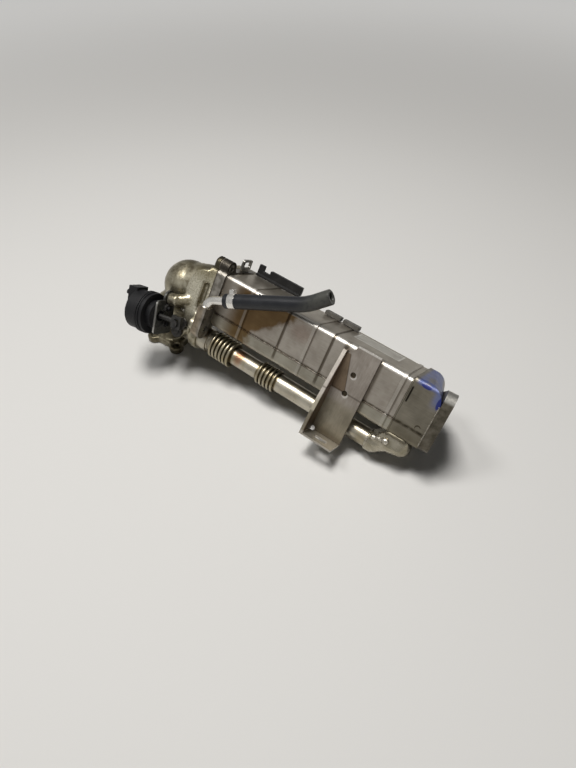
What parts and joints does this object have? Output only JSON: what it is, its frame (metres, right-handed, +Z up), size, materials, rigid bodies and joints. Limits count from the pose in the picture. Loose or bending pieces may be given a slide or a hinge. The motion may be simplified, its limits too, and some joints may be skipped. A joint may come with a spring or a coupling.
{
  "type": "exhaust gas recirculation cooler",
  "caption": "Long square exhaust gas cooler with a bypass tube, a cast elbow with a vacuum driven bypass flap, coolant hose, mounting bracket and outlet flange.",
  "frame": {"origin": "centre of the inlet bore on the inlet flange face, which rests on the floor", "axes": "+X along the cooler toward the outlet flange, +Z up; the casing is rolled 30 degrees about its length and drops a little toward the outlet"},
  "size_m": [0.4372, 0.1603, 0.171],
  "materials": {
    "shell_steel": "satin stainless sheet with heat tint and braze stains",
    "tube_steel": "drawn stainless tube, dull",
    "flange_steel": "machined steel, brown at the edges",
    "gasket": "pressed metal gasket, dull",
    "casting": "raw casting, pale olive and cream",
    "screw_steel": "plated fasteners and small steel pieces",
    "valve_steel": "turned steel, slightly sooty",
    "bush_bronze": "sintered bearing bronze",
    "rubber": "matt rubber sheet",
    "black_plastic": "black moulded plastic",
    "plate_steel": "dark coated sheet steel",
    "bypass_steel": "thin stainless tube with a warm tint",
    "pipe_steel": "bright bent steel pipe",
    "hose_rubber": "black coolant hose, dusty",
    "bracket_steel": "pressed sheet, grey brown",
    "clip_plastic": "black moulded plastic",
    "pad_rubber": "dark grey rubber pads"
  },
  "bodies": {
    "cooler": {"upper_shell": "shell_steel", "lower_shell": "shell_steel", "rear_header": "shell_steel", "front_header": "shell_steel", "gas_tubes": "tube_steel", "cooler_flange": "flange_steel", "housing_gasket": "gasket", "valve_housing": "casting", "housing_bolts": "screw_steel", "shaft_bushes": "bush_bronze", "diaphragm": "rubber", "return_spring": "screw_steel", "actuator_cup": "black_plastic", "actuator_cover": "black_plastic", "actuator_plate": "plate_steel", "actuator_nuts": "screw_steel", "plate_bolt": "screw_steel", "bypass_tube": "bypass_steel", "bypass_sleeve": "bypass_steel", "outlet_hood": "shell_steel", "bypass_collector": "bypass_steel", "outlet_flange": "flange_steel", "coolant_inlet_pipe": "pipe_steel", "coolant_hose": "hose_rubber", "hose_clamp": "pipe_steel", "coolant_outlet_pipe": "pipe_steel", "mount_bracket": "bracket_steel", "harness_eye": "flange_steel", "cable_clip": "clip_plastic", "edge_pads": "pad_rubber", "edge_tab": "flange_steel"},
    "flap": {"flap_shaft": "valve_steel", "bypass_flap": "valve_steel", "flap_screws": "screw_steel", "flap_lever": "valve_steel", "lever_pin": "screw_steel"},
    "rod": {"actuator_rod": "valve_steel", "diaphragm_plate": "screw_steel"}
  },
  "joints": [
    {"name": "rod_slide", "type": "slide", "parent": "cooler", "child": "rod", "axis": [-0.9942, -0.0954, -0.0496], "range_m": [0, 0.01571], "stiffness_N_per_m": 300, "deforming": ["diaphragm", "return_spring"]},
    {"name": "flap_turn", "type": "hinge", "parent": "cooler", "child": "flap", "pos_m": [0.05552, -0.01918, 0.05476], "axis": [0.0583, -0.866, 0.4966], "range_deg": [0, 60.05]}
  ],
  "couplings": [
    {"joint": "flap_turn", "follows": "rod_slide", "rad_per_m": 66.667}
  ]
}
